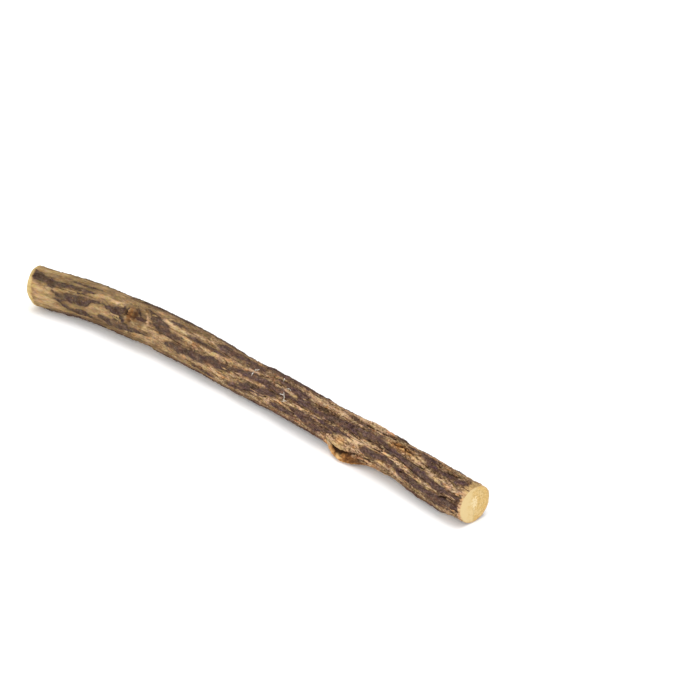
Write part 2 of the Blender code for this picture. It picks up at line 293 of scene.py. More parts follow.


# Cracks and gashes: where the drying bark split down to dark wood, at the knots and beside plates, darkened
# further with painted shade.
# Each is how deep it goes, from 0 to 1, and a chain as above.
GASHES = (
    (0.5, ((36.0, 138, 3), (37.0, 136, 5), (37.9, 134, 6), (38.7, 132, 4))),
    (0.4, ((33.8, 100, 2), (34.8, 114, 3), (35.6, 130, 3), (36.2, 141, 2))),
    (0.3, ((24.0, 124, 2), (27.0, 138, 3), (30.0, 146, 3))),
    (0.5, ((38.4, 166, 3), (39.6, 167, 3))),
    (0.7, ((110.8, 204, 2), (112.0, 198, 4), (112.9, 190, 2))),
    (0.6, ((102.0, 206, 3), (103.4, 199, 3))),
    (0.9, ((108.2, 77, 1.5), (110.2, 80, 2.5), (113.0, 84, 2), (115.2, 82, 2.5), (117.5, 77, 4),
           (119.5, 73, 5), (122.0, 71, 6), (124.5, 72, 2))),
    (0.4, ((55.0, 189, 2), (58.0, 193, 3), (62.0, 195, 2))),
    (0.45, ((85.5, 155, 1.2), (89.0, 160, 1.8), (92.5, 164, 1.2))),
    (0.45, ((85.5, 167, 1.2), (89.0, 171, 1.8), (92.5, 175, 1.2))),
    (0.7, ((76.8, 188, 2), (78.6, 192, 3), (80.4, 197, 2))),
    (0.6, ((116.8, 181, 2), (118.0, 185, 3), (119.4, 191, 2))),
    (0.6, ((136.6, 185, 2), (138.0, 190, 3), (139.6, 197, 2))),
    (0.5, ((41.0, 148, 1.5), (46.0, 146, 2), (51.0, 150, 2), (56.0, 148, 1.5))),
    (0.5, ((63.0, 108, 1.5), (68.0, 110, 2), (75.0, 110, 1.5))),
    (0.5, ((8.0, 135, 1.5), (14.0, 136, 2), (19.0, 131, 1.5))),
    (0.5, ((84.0, 146, 1.5), (90.0, 142, 2), (97.0, 141, 2), (103.0, 140, 1.5))),
    (0.6, ((124.0, 132, 1.5), (130.0, 143, 2), (136.0, 148, 2), (141.0, 157, 1.5))),
    (0.5, ((84.0, 96, 1.5), (90.0, 101, 2), (96.0, 111, 2), (103.0, 111, 1.5))),
    (0.5, ((126.0, 100, 2), (130.0, 104, 2), (133.0, 109, 1.5))),
    # The two long gashes at 203 to 211 degrees are painted shade along the lower side, where the stick's
    # side turns under
    (0.6, ((66.0, 203, 1.5), (74.0, 208, 3.5), (82.0, 205, 2.5), (90.0, 210, 3.5), (97.0, 206, 1.5))),
    (0.6, ((114.0, 205, 2), (121.0, 210, 4), (128.0, 206, 2.5), (136.0, 211, 4), (143.0, 207, 1.5))),
    (0.5, ((86.0, 192, 1.5), (92.0, 196, 3), (99.0, 192, 1.5))),
    (0.5, ((118.0, 170, 1.5), (124.0, 168, 2.5), (131.0, 160, 2), (138.0, 163, 2.5), (144.0, 161, 1.5))),
    (0.5, ((112.0, 134, 1.5), (118.0, 128, 2.5), (124.0, 126, 1.5))),
)


def gash_field(s, a):
    """How dark and deep the cracks are, 0 to 1, with frayed edges."""
    frayed = 0.8 * grain(s, a, 2.2, 0.5, 61) + 0.5 * grain(s, a, 0.8, 0.3, 62)
    out = np.zeros(s.shape)
    for depth, chain in GASHES:
        out = np.maximum(out, depth * rise(streaks(s, a, (chain,)) + frayed, 0.05, 0.5))
    return out


# Heights and depths in the bark between the knots, in mm
PLATE_HEIGHT = 0.32
GASH_DEPTH = 0.42
SPLIT_DEPTH = 0.22


def narrow_lines(values, low, high):
    """1 where some noise passes through 0, which draws thin winding lines."""
    return 1 - rise(np.abs(values), low, high)


def plain_skin(s, a):
    """The bark between the knots: its height in mm, and what it is made of at each point."""
    big, big_hue, big_inside = flakes(s, a, 2.8, 0.85, 71)
    small, small_hue, small_inside = flakes(s, a, 1.1, 0.40, 73)
    field, edge = bark_field(s, a, 0.52 * big + 0.26 * small)
    edge = edge + 0.20 * (1 - rise(s, 26.0, 52.0)) + 0.10 * rise(s, 66.0, 84.0)
    edge = edge - 0.27 * rise(s, 96.0, 106.0) + 0.15 * rise(s, 116.0, 124.0)
    gap = rise(streaks(s, a, (PALE_GAP,)), -0.5, 0.4)
    edge = edge - 0.7 * gap - spots(s, a, WORN_SPOTS)
    bark = rise(edge, -0.08, 0.08)
    bare = 1 - bark
    rubbed = 1 - rise(s, 20.0, 95.0)
    edge = edge - (0.26 - 0.16 * rise(s, 22.0, 32.0)) * bare * (1 - rise(s, 60.0, 92.0))
    film = rise(edge, -0.62, -0.50)
    h = PLATE_HEIGHT * (0.6 * bark + 0.4 * rise(field, -0.25, 0.25) - 0.45) + 0.06 * (film - 0.5) * bare
    h += 0.16 * grain(s, a, 24.0, 6.0, 3) + 0.12 * grain(s, a, 11.0, 1.7, 4)
    h += 0.07 * np.cos(np.radians(2 * a + 1.1 * s))
    # Fibres of the inner bark: flaky strands that part round narrow splits
    strands = 0.08 * big + 0.05 * small - 0.08 * (1 - big_inside) - 0.05 * (1 - small_inside)
    h += bare * (1 - 0.4 * rubbed) * strands
    # Loose edges that break the outline a little
    h += 0.13 * grain(s, a, 2.6, 1.5, 5) * (1 - 0.6 * rubbed)
    h += bare * (0.06 * grain(s, a, 6.0, 0.60, 7) + 0.05 * grain(s, a, 2.4, 0.34, 8))
    split = narrow_lines(grain(s, a, 11.0, 0.80, 9), 0.02, 0.085)
    split = split * rise(grain(s, a, 8.0, 2.0, 10), -0.12, 0.16)
    split = np.maximum(split, 0.8 * narrow_lines(grain(s, a, 6.0, 0.50, 15), 0.01, 0.06)
                       * rise(grain(s, a, 6.0, 1.6, 16), 0.05, 0.25))
    split = split * (1 - 0.5 * rubbed)
    h -= SPLIT_DEPTH * split * (0.35 + 0.65 * bare)
    # A shallow gap under the rim of a plate, darkened with painted shade, and the crackled, pitted face of
    # the plate itself
    under = rise(edge, -0.24, -0.10) * (1 - rise(edge, -0.05, 0.05))
    under = under * rise(grain(s, a, 4.0, 1.2, 17), -0.30, 0.10)
    h -= 0.07 * under
    crackle = narrow_lines(grain(s, a, 3.6, 0.9, 13), 0.01, 0.09) * bark
    h += bark * (0.06 * grain(s, a, 1.3, 0.55, 11) + 0.05 * grain(s, a, 0.5, 0.3, 12) + 0.05 * small)
    h -= bark * (0.05 * (1 - small_inside) + 0.04 * (1 - big_inside)) + 0.10 * crackle
    gash = gash_field(s, a)
    h -= GASH_DEPTH * gash
    near_end = rise(s, 95.0, 120.0)
    # Painted shade darkens the splits, the crackle, the flake borders and the gap under plate rims; in the
    # gashes it lies over darker wood
    crack_shade = (0.75 + 0.4 * near_end) * split * bare + 0.35 * crackle + 0.60 * under * (1 - 0.5 * rubbed)
    crack_shade += 0.30 * bare * (1 - big_inside) * (1 - 0.7 * rubbed) + 0.95 * gash
    tone = tone_field(s, a) + (0.55 * big + 0.34 * small) * (1 - 0.60 * rubbed + 0.25 * near_end)
    tone += 0.22 * rise(s, 96.0, 106.0) - 0.20 * rise(s, 114.0, 124.0) + 0.5 * gap
    tone += spots(s, a, PALE_SPOTS)
    hue = 0.55 * big_hue + 0.40 * small_hue - 0.5 * mound(s, a, 138.0, 122, 5.0, 14)
    hue -= 0.6 * mound(s, a, 52.6, 179, 2.6, 7)
    return SimpleNamespace(height=h, edge=edge, tone=tone, hue=hue, crack_shade=crack_shade, rust=spots(s, a, RUSTY_SPOTS),
                           knotty=np.zeros(s.shape), ragged=1.0 + 0.6 * grain(s, a, 0.9, 0.7, 31))


def add_branch_scar(skin, s, a):
    """Strands part round the scar like an eye, over torn rusty wood with a small hole below."""
    skin.height += 0.30 * mound(s, a, 33.5, 133, 5.5, 42) + 0.25 * mound(s, a, 29.6, 126, 1.6, 16)
    cleft = mound(s, a, 31.9, 131, 0.50 * skin.ragged, 14 * skin.ragged, 3.0)
    torn_wood = mound(s, a, 33.2, 136, 0.8 * skin.ragged, 20 * skin.ragged, 4.0)
    behind = mound(s, a, 34.7, 132, 0.75 * skin.ragged, 15, 3.0)
    hole = mound(s, a, 33.6, 154, 0.7 * skin.ragged, 5.5, 3.0)
    from_arch = (s - 39.8 + ((a - 142) / 20.0) ** 2) / 0.50
    brow = np.exp(-from_arch ** 2) * mound(s, a, 38.8, 130, 3.0, 24, 4.0)
    skin.height += 0.22 * brow - 0.95 * cleft - 0.6 * behind - 0.6 * hole
    skin.height -= 0.30 * torn_wood * (1 - 0.8 * grain(s, a, 1.2, 0.35, 35))
    skin.rust += 0.80 * torn_wood + 0.6 * behind
    # Painted shade darkens the cleft, the hollow behind the torn wood and the hole
    skin.crack_shade += 0.95 * cleft + 0.40 * behind + 0.6 * hole
    skin.tone += 0.5 * brow + 0.9 * (mound(s, a, 32.9, 122, 0.6, 6) - behind) - 0.7 * torn_wood
    skin.tone += 1.1 * mound(s, a, 44.4, 107, 2.4, 9, 3.0) + 0.6 * mound(s, a, 28.9, 122, 1.0, 8)
    skin.tone -= 0.4 * mound(s, a, 36.5, 132, 3.0, 26, 4.0)
    skin.knotty += 2 * torn_wood + cleft + hole + 0.9 * brow


LOBE_S = 107.8
LOBE_SIDE = 217
LOBE_HEIGHT = 2.35
SLOT_DEPTH = 1.7
# The slot's middle line: mm along, then the angle there
SLOT_LINE = ((104.5, 107.7, 109.4, 110.6, 112.5), (206.0, 204.5, 202.5, 200.0, 193.0))


def add_side_shoot(skin, s, a):
    """The broken side shoot juts out near the surface: a lip, a slot, and a lobe below it."""
    skin.height += 0.55 * mound(s, a, 107.0, 193, 4.2, 13) + 0.30 * mound(s, a, 110.0, 190, 7.0, 34)
    from_lobe = turn(a, LOBE_SIDE)
    lobe_s = np.where(s < LOBE_S, (s - LOBE_S) / 4.2, (s - LOBE_S) / 6.0)
    lobe_a = np.where(from_lobe < 0, from_lobe / 12.0, from_lobe / 20.0)
    lobe = np.exp(-np.hypot(lobe_s, lobe_a) ** 2.6)
    lobe_crack = narrow_lines(grain(s, a, 1.6, 0.8, 36), 0.02, 0.16) * lobe
    skin.height += LOBE_HEIGHT * lobe * (1.0 + 0.06 * grain(s, a, 1.3, 0.6, 32)) - 0.14 * lobe_crack
    slot_line = np.interp(s, *SLOT_LINE)
    slot_cut = mound(s, a, 106.5, slot_line - 0.4, 2.3, 3.5) + 0.4 * mound(s, a, 109.5, slot_line, 3.0, 2.0)
    skin.height += 0.40 * mound(s, a, 104.1, 211, 0.7, 6) - SLOT_DEPTH * slot_cut
    # The slot and its narrow end are darkened with painted shade
    slot_shade = mound(s, a, 106.5, slot_line - 0.4, 1.8, 3.3, 3.0)
    slot_end_shade = mound(s, a, 109.4, slot_line + 0.4, 3.4, 2.4 * skin.ragged, 3.0)
    lip = mound(s, a, 108.0, 190, 3.6, 14, 3.0)
    skin.crack_shade *= 1 - 0.85 * lip
    skin.tone *= 1 - 0.45 * lip
    skin.hue *= 1 - 0.7 * lip
    # Painted shade on the lobe's lower right, where it comes down to the surface it rests on
    shade = mound(s, a, 113.4, 212, 2.2, 9)
    skin.rust += 1.5 * rise(lobe, 0.04, 0.35) * rise(turn(a, slot_line), -1.0, 3.0) * (1 - 0.6 * shade)
    # The slot, its end and the lobe's cracks get painted shade here
    skin.crack_shade += 4.5 * slot_shade + 1.1 * slot_end_shade + 0.22 * lobe_crack + 0.4 * shade
    skin.tone += 0.8 * mound(s, a, 107.0, 213, 3.0, 6) - 0.9 * shade - 1.0 * mound(s, a, 104.4, 208, 0.9, 8)
    skin.tone += 0.20 * lip - 0.5 * mound(s, a, 107.4, 180, 2.0, 8)
    skin.rust += 0.50 * mound(s, a, 107.4, 179, 1.5, 8) - 0.7 * mound(s, a, 103.9, 209, 1.1, 9)
    skin.knotty += 1.6 * lobe + 1.2 * mound(s, a, 108.0, 192, 4.5, 12)


def add_bud_scar(skin, s, a):
    """The cracked bud scar on the upper side: loose rusty crumbs between dark gaps."""
    bud = mound(s, a, 123.7, 101, 4.2, 14, 3.0)
    lump, _, lump_inside = flakes(s, a, 1.5, 0.7, 75)
    pits = mound(s, a, 124.2, 101, 0.7, 6), mound(s, a, 126.3, 99, 0.6, 5)
    skin.height += 0.55 * bud + bud * (0.30 * lump - 0.40 * (1 - lump_inside))
    skin.height -= 0.6 * pits[0] + 0.5 * pits[1]
    skin.rust += 1.2 * mound(s, a, 123.8, 102, 3.0, 12, 3.0)
    # Painted shade in the gaps between the crumbs and in the two pits
    skin.crack_shade += 0.75 * bud * (1 - lump_inside) + 0.8 * pits[0] + 0.8 * pits[1]
    skin.tone += 0.6 * bud * lump
    skin.knotty += 1.6 * mound(s, a, 123.8, 101, 3.6, 11)


def add_splinter(skin, s, a):
    """A long splinter of bark, lifted off the upper side, and a low swelling beyond it."""
    skin.height += 0.35 * mound(s, a, 133.0, 60, 4.0, 16)
    past_edge = turn(a, 77.0 + 3.5 * grain(s, a, 3.0, 3.0, 45))
    splinter = mound(s, a, 112.5, 62, 6.5, 30, 4.0) * (1 - rise(past_edge, -1.2, 1.2))
    splinter_gap_shade = mound(s, a, 113.5, 81, 6.5, 4.5, 3.0) * rise(past_edge, -1.2, 0.8)
    skin.height += 0.42 * splinter - 0.35 * splinter_gap_shade
    skin.tone += 0.9 * splinter
    # Painted shadow in the gap under the splinter's lifted edge
    skin.crack_shade += 1.1 * splinter_gap_shade * rise(grain(s, a, 1.6, 1.0, 46), -0.5, 0.1)
    skin.knotty += 0.9 * splinter


def skin_relief(s, a):
    """Height of the skin over the plain stick in mm, and what it is made of at each point."""
    skin = plain_skin(s, a)
    for add_form in (add_branch_scar, add_side_shoot, add_bud_scar, add_splinter):
        add_form(skin, s, a)
    edge = np.clip(skin.edge, -2.0, 1.5) - 2.2 * np.clip(skin.knotty, 0.0, 1.0)
    return skin.height, {"edge": edge, "tone": np.clip(skin.tone, -2.0, 2.0), "hue": skin.hue,
                         "rust": np.clip(skin.rust, 0, 1), "crack_shade": np.clip(skin.crack_shade, 0, 1)}


# The far cut slants, with its lower near side the shorter one, and is pared round its rim. The near
# cut's upper rim has peeled. Sides are angles, the rest mm.
FAR_SLANT = 0.6
FAR_SLANT_SIDE = 232.0
FAR_SLANT_REACH = 9.0
FAR_BEVEL = 0.50
FAR_BEVEL_SWING = 0.38
FAR_BEVEL_SIDE = 212.0
NEAR_PEEL = 0.10
NEAR_PEEL_MORE = 0.32
NEAR_PEEL_SIDE = 88.0
# How far in metres the skin, and what stands off it, keep inside the stick's box
SKIN_MARGIN = 0.00002
TRIM_MARGIN = 0.00001


def texture_place(s, a):
    """Texture places on the skin, in mm: along the stick, then across it."""
    th = np.radians(a)
    return np.stack([s, MEAN_RADIUS * np.cos(th), MEAN_RADIUS * np.sin(th)], -1)


def skin_points(s, a):
    """Points of the skin in metres, trimmed flat where the stick meets the surface, and their kinds."""
    th = np.radians(a)
    cut_slant = FAR_SLANT * np.cos(np.radians(a - FAR_SLANT_SIDE)) - 0.5 * FAR_SLANT
    s = s + cut_slant * np.clip(1.0 - s / FAR_SLANT_REACH, 0.0, 1.0)
    from_far = s - cut_slant
    from_near = STALK_LENGTH - s
    x, y, z, r, tx, ty = heart(s)
    ends = rise(from_far, 0.0, 2.5) * rise(from_near, 0.0, 1.5)
    h, kinds = skin_relief(s, a)
    r = r + h * (0.25 + 0.75 * ends)
    bevel = FAR_BEVEL + FAR_BEVEL_SWING * np.cos(np.radians(a - FAR_BEVEL_SIDE))
    pared = 1.0 - rise(from_far, -0.1, 1.3)
    r = r - bevel * pared
    peel = NEAR_PEEL + NEAR_PEEL_MORE * np.clip(np.cos(np.radians(a - NEAR_PEEL_SIDE)), 0.0, 1.0) ** 4
    peeled = 1.0 - rise(from_near, 0.0, 1.1 + 1.7 * (peel - NEAR_PEEL) / NEAR_PEEL_MORE)
    r = r - peel * peeled
    out = np.stack([
        x - ty * np.cos(th) * r - BOX_CENTRE_X,
        y + tx * np.cos(th) * r - BOX_CENTRE_Y,
        np.maximum(z + r * np.sin(th), 0.0),
    ], -1) * MM
    bared = 1.10 + 0.5 * bevel
    frayed_far = from_far + 0.35 * grain(s, a, 2.0, 1.2, 42)
    cut = 1.0 - rise(frayed_far, bared, bared + 0.35)
    trimmed = np.clip(pared * bevel / 0.4, 0, 1)
    raw = rise(peeled + 0.5 * grain(s, a, 1.0, 0.7, 41), 0.25, 0.60)
    kinds["edge"] = kinds["edge"] - 2.5 * trimmed - 2.5 * raw
    kinds["tone"] = kinds["tone"] * (1 - 0.7 * raw) * (1 - 0.6 * trimmed) + 1.3 * trimmed + 1.0 * raw
    kinds["rust"] = np.maximum(np.maximum(kinds["rust"], 0.35 * raw), 1.6 * cut * (1 - cut))
    kinds["crack_shade"] = kinds["crack_shade"] * (1 - cut)
    # The lip over the side shoot is rubbed down to smooth wood
    worn_lip = 0.52 * mound(s, a, 106.8, 191, 2.6, 9, 3.0)
    kinds["cut"] = np.maximum(np.maximum(cut, 0.8 * raw * rise(peel, 0.2, 0.4)), worn_lip)
    kinds["place"] = texture_place(s, a)
    low, high = np.array(cad_low) + SKIN_MARGIN, np.array(cad_high) - SKIN_MARGIN
    low[2] = 0.0
    return np.clip(out, low, high), kinds


def write_kinds(mesh, kinds):
    """Writes what each point is made of onto a mesh."""
    for kind, values in kinds.items():
        vector = kind.endswith("place")
        layer = mesh.attributes.new(kind, "FLOAT_VECTOR" if vector else "FLOAT", "POINT")
        layer.data.foreach_set("vector" if vector else "value", values.astype(np.float32).ravel())


def set_down(name, content):
    """A new object in the scene that holds a mesh, a light or a camera."""
    item = bpy.data.objects.new(name, content)
    bpy.context.scene.collection.objects.link(item)
    return item


def rolled_mesh(name, points, kinds, inward=False, unroll=False, capped=False):
    """A mesh from rings of points, closed round each ring, with what each point is made of."""
    rings, sides = points.shape[:2]
    faces = []
    for i in range(rings - 1):
        for j in range(sides):
            k = (j + 1) % sides
            quad = (i * sides + j, i * sides + k, (i + 1) * sides + k, (i + 1) * sides + j)
            faces.append(quad[::-1] if inward else quad)
    if capped:
        faces.append(tuple(range(sides))[::-1])
        faces.append(tuple((rings - 1) * sides + j for j in range(sides)))
    mesh = bpy.data.meshes.new(name)
    mesh.from_pydata(points.reshape(-1, 3).tolist(), [], faces)
    write_kinds(mesh, kinds)
    if unroll:
        # The bark laid out flat, as one map for its colours
        flat = mesh.uv_layers.new(name="OFBake")
        row, column = np.meshgrid(np.arange(rings - 1), np.arange(sides), indexing="ij")
        u = np.stack([column, column + 1, column + 1, column], -1) / sides
        v = np.stack([row, row, row + 1, row + 1], -1) / (rings - 1)
        flat.uv.foreach_set("vector", np.stack([u, v], -1).astype(np.float32).ravel())
    mesh.update()
    mesh.shade_smooth()
    return set_down(name, mesh)


# The rings of the skin, in mm along the stick: closer together at the knots and at both cut edges
RING_STEP = 0.245
RING_STEP_KNOT = 0.16
KNOT_SPANS = ((29.0, 38.0), (104.0, 114.0), (119.5, 128.0))
NEAR_EDGE_RINGS = (2.2, 1.9, 1.6, 1.3, 1.0, 0.75, 0.52, 0.32, 0.15, 0.0)
SKIN_SIDES = 288
ring_places = [0.0, 0.12, 0.26, 0.42, 0.62, 0.85, 1.1, 1.4]
while ring_places[-1] < STALK_LENGTH - 2.6:
    s_now = ring_places[-1]
    by_knot = any(low < s_now < high for low, high in KNOT_SPANS)
    ring_places.append(s_now + (RING_STEP_KNOT if by_knot else RING_STEP))
ring_places += [STALK_LENGTH - d for d in NEAR_EDGE_RINGS]
# Points stand a little closer together on the viewer's side, and most at the broken shoot's slot
even = np.arange(0.0, 360.0, 0.25)
viewer_side = 0.3 * np.exp(-((even - 145.0) / 70.0) ** 4)
crowd = np.cumsum(1.0 + viewer_side + 1.3 * np.exp(-((even - 207.0) / 8.0) ** 2))
around_share = crowd[-1] * np.arange(SKIN_SIDES) / SKIN_SIDES
around_a = np.interp(around_share, np.append(0.0, crowd), np.append(even, 360.0))
ring_s, ring_a = np.meshgrid(np.array(ring_places), around_a, indexing="ij")
bark_points, bark_kinds = skin_points(ring_s, ring_a)
halfway = len(ring_places) // 2
bark_far = rolled_mesh("bark_far_half", bark_points[:halfway + 1],
                       {k: v[:halfway + 1] for k, v in bark_kinds.items()}, unroll=True)
bark_near = rolled_mesh("bark_near_half", bark_points[halfway:],
                        {k: v[halfway:] for k, v in bark_kinds.items()}, unroll=True)


def new_material(name):
    """A new Principled material, and the tree of its nodes."""
    material = bpy.data.materials.new(name)
    material.use_nodes = True
    return material, material.node_tree


def new_node(tree, kind, sockets, **settings):
    """A new node with its settings, and its inputs linked to other nodes or set to plain values."""
    node = tree.nodes.new(kind)
    for name, value in settings.items():
        setattr(node, name, value)
    for socket, value in sockets.items():
        if isinstance(value, bpy.types.NodeSocket):
            tree.links.new(value, node.inputs[socket])
        else:
            node.inputs[socket].default_value = value
    return node


def read_kind(tree, name, socket):
    """What the mesh says about its surface at each point."""
    node = new_node(tree, "ShaderNodeAttribute", {}, attribute_type="GEOMETRY", attribute_name=name)
    return node.outputs[socket]


def scaled(tree, place, scale):
    """The place on the stick, stretched for one texture."""
    return new_node(tree, "ShaderNodeMapping", {"Vector": place, "Scale": scale}).outputs["Vector"]


def noisy(tree, place, scale, detail=3.0, roughness=0.55, warp=0.0):
    """A noise value over the stretched place."""
    node = new_node(tree, "ShaderNodeTexNoise", {
        "Vector": scaled(tree, place, scale), "Scale": 1.0, "Detail": detail, "Roughness": roughness,
        "Distortion": warp,
    })
    return node.outputs["Fac"]


def spread(tree, value, low, high, out_low=0.0, out_high=1.0):
    """Stretches a value from one range to another."""
    node = new_node(tree, "ShaderNodeMapRange", {
        "Value": value, "From Min": low, "From Max": high, "To Min": out_low, "To Max": out_high,
    }, interpolation_type="SMOOTHSTEP")
    return node.outputs["Result"]


def times(tree, a, b):
    """One value times another, or times a number."""
    return new_node(tree, "ShaderNodeMath", {0: a, 1: b}, operation="MULTIPLY").outputs[0]


def plus(tree, a, b):
    """One value plus another, or plus a number."""
    return new_node(tree, "ShaderNodeMath", {0: a, 1: b}, operation="ADD").outputs[0]


def parted(tree, place):
    """The X, Y and Z of a place."""
    return new_node(tree, "ShaderNodeSeparateXYZ", {"Vector": place}).outputs


def blend_colour(tree, amount, a, b, mode="MIX"):
    """Colour a turning into colour b as amount goes from 0 to 1."""
    a, b = [(*colour, 1.0) if isinstance(colour, tuple) else colour for colour in (a, b)]
    node = new_node(tree, "ShaderNodeMix", {"Factor": amount, "A": a, "B": b},
                    data_type="RGBA", blend_type=mode, clamp_factor=True)
    return node.outputs["Result"]


def stained(tree, amount, colour, dye):
    """A colour multiplied by a dye as amount goes from 0 to 1."""
    return blend_colour(tree, amount, colour, dye, "MULTIPLY")


def ramp(tree, value, stops):
    """A colour for each value, smooth between the stops."""
    node = tree.nodes.new("ShaderNodeValToRGB")
    node.color_ramp.elements[0].position = stops[0][0]
    node.color_ramp.elements[0].color = (*stops[0][1], 1.0)
    node.color_ramp.elements[1].position = stops[-1][0]
    node.color_ramp.elements[1].color = (*stops[-1][1], 1.0)
    for position, colour in stops[1:-1]:
        node.color_ramp.elements.new(position).color = (*colour, 1.0)
    tree.links.new(value, node.inputs["Fac"])
    return node.outputs["Color"]


def roughened(tree, shader, height, strength, distance):
    """Fine relief on a shader's surface, of about this depth in metres."""
    bump = new_node(tree, "ShaderNodeBump", {"Height": height, "Strength": strength, "Distance": distance})
    tree.links.new(bump.outputs["Normal"], shader.inputs["Normal"])


# Dried bark: dull, dry and matt. Tan fibres below, purple-brown plates above, rusty knots.
# Colours go from the darkest to the palest, each with the level at which it stands.
INNER_BARK = (
    (0.06, (0.045, 0.022, 0.010)), (0.26, (0.110, 0.063, 0.031)), (0.44, (0.190, 0.117, 0.058)),
    (0.60, (0.295, 0.182, 0.091)), (0.76, (0.408, 0.262, 0.137)), (0.95, (0.53, 0.358, 0.197)),
)
OUTER_BARK = (
    (0.10, (0.033, 0.016, 0.009)), (0.42, (0.064, 0.036, 0.024)), (0.72, (0.096, 0.056, 0.040)),
    (1.0, (0.180, 0.115, 0.078)),
)
RUSTY_WOOD = (
    (0.12, (0.085, 0.030, 0.009)), (0.40, (0.235, 0.098, 0.026)), (0.64, (0.420, 0.195, 0.056)),
    (0.95, (0.60, 0.37, 0.15)),
)
# Near-black painted shade for the depths of cracks, slots and hollows
CRACK_SHADE_RAMP = ((0.30, (0.060, 0.026, 0.012)), (0.75, (0.013, 0.003, 0.001)))
# Stains that multiply the bark's colour: blotches from green to pink and from yellow to blue, and
# a slow change from the far end to the near one
BLUSH = ((0.0, (0.955, 1.08, 0.97)), (0.5, (1.0, 1.0, 1.0)), (1.0, (1.035, 0.925, 0.97)))
HONEY = ((0.0, (1.04, 1.0, 0.80)), (0.5, (1.0, 1.0, 1.0)), (1.0, (0.97, 1.0, 1.20)))
DRIFT = (
    (0.02, (0.99, 1.045, 1.03)), (0.20, (0.99, 1.03, 1.06)), (0.46, (0.995, 1.03, 1.11)),
    (0.64, (1.045, 1.075, 1.18)), (0.90, (1.065, 1.068, 1.20)), (1.0, (1.015, 1.022, 1.12)),
)
bark_material, tree = new_material("dried_bark")
shader = tree.nodes["Principled BSDF"]
place = read_kind(tree, "place", "Vector")
mm_along = parted(tree, place)["X"]
edge, tone, hue, rust, crack_shade, cut = [
    read_kind(tree, kind, "Fac") for kind in ("edge", "tone", "hue", "rust", "crack_shade", "cut")
]
long_fibre = noisy(tree, place, (0.32, 2.4, 2.4), 5.0, 0.7, 0.5)
fine_fibre = noisy(tree, place, (1.4, 4.6, 4.6), 3.0, 0.6, 0.3)
mottle = noisy(tree, place, (0.40, 0.9, 0.9), 4.0, 0.6, 0.4)
speck = noisy(tree, place, (1.5, 2.6, 2.6), 5.0, 0.75)
crumb = noisy(tree, place, (1.9, 3.4, 3.4), 3.0, 0.7, 0.3)
crisp = spread(tree, mm_along, 15.0, 122.0, 0.18, 1.80)
sharp = spread(tree, mm_along, 12.0, 80.0, 0.35, 1.0)
tear = plus(tree, edge, times(tree, crisp, spread(tree, speck, 0.25, 0.75, -0.26, 0.26)))
bark = spread(tree, times(tree, tear, sharp), -0.07, 0.07)
film = spread(tree, tear, -0.70, -0.35)
fibres = times(tree, sharp, spread(tree, long_fibre, 0.25, 0.75, -0.45, 0.45))
fine = plus(tree, spread(tree, fine_fibre, 0.25, 0.75, -0.4, 0.4),
            spread(tree, speck, 0.30, 0.70, -0.9, 0.9))
level = plus(tree, plus(tree, tone, fibres), times(tree, crisp, fine))
tint = plus(tree, hue, spread(tree, mottle, 0.25, 0.75, -0.9, 0.9))

inner = ramp(tree, spread(tree, level, -2.4, 2.4), INNER_BARK)
reddish = times(tree, sharp, spread(tree, tint, 0.25, 1.1, 0.0, 0.75))
inner = stained(tree, reddish, inner, (1.12, 0.80, 0.52))
inner = stained(tree, spread(tree, tint, -0.25, -1.1, 0.0, 0.75), inner, (0.92, 0.93, 0.74))
inner = blend_colour(tree, times(tree, film, 0.55), inner, (0.110, 0.066, 0.040))

outer = ramp(tree, spread(tree, plus(tree, mottle, speck), 0.6, 1.4), OUTER_BARK)
outer = blend_colour(tree, spread(tree, level, 0.3, 1.9, 0.0, 0.65), outer, (0.145, 0.090, 0.062))
outer = blend_colour(tree, spread(tree, level, -0.3, -1.7, 0.0, 0.65), outer, (0.031, 0.014, 0.007))
outer = blend_colour(tree, spread(tree, long_fibre, 0.58, 0.78, 0.0, 0.4), outer, (0.088, 0.073, 0.050))
outer = stained(tree, spread(tree, tint, 0.3, 1.3, 0.0, 0.7), outer, (1.18, 0.94, 0.62))
outer = stained(tree, spread(tree, tint, 0.0, -0.9), outer, (0.92, 0.90, 1.22))
pale_crumb = times(tree, crisp, spread(tree, crumb, 0.59, 0.68, 0.0, 0.50))
outer = blend_colour(tree, pale_crumb, outer, (0.20, 0.135, 0.088))
dark_crumb = times(tree, crisp, spread(tree, crumb, 0.43, 0.33, 0.0, 0.55))
outer = blend_colour(tree, dark_crumb, outer, (0.022, 0.012, 0.009))
outer = stained(tree, spread(tree, mm_along, 90.0, 30.0), outer, (0.99, 1.05, 1.0))

colour = blend_colour(tree, bark, inner, outer)
blush = noisy(tree, place, (0.55, 1.25, 1.25), 4.0, 0.7)
colour = stained(tree, 1.0, colour, ramp(tree, spread(tree, blush, 0.28, 0.72), BLUSH))
honey = noisy(tree, place, (0.8, 1.9, 1.9), 4.0, 0.7)
colour = stained(tree, 1.0, colour, ramp(tree, spread(tree, honey, 0.28, 0.72), HONEY))
colour = stained(tree, 1.0, colour, ramp(tree, spread(tree, mm_along, 5.0, 125.0), DRIFT))
pared_wood = blend_colour(tree, spread(tree, mottle, 0.35, 0.65), (0.34, 0.24, 0.090), (0.50, 0.37, 0.16))
colour = blend_colour(tree, times(tree, cut, 0.9), colour, pared_wood)
rusty = ramp(tree, spread(tree, plus(tree, tone, times(tree, fine, 0.6)), -2.2, 2.2), RUSTY_WOOD)
colour = blend_colour(tree, times(tree, rust, 0.9), colour, rusty)
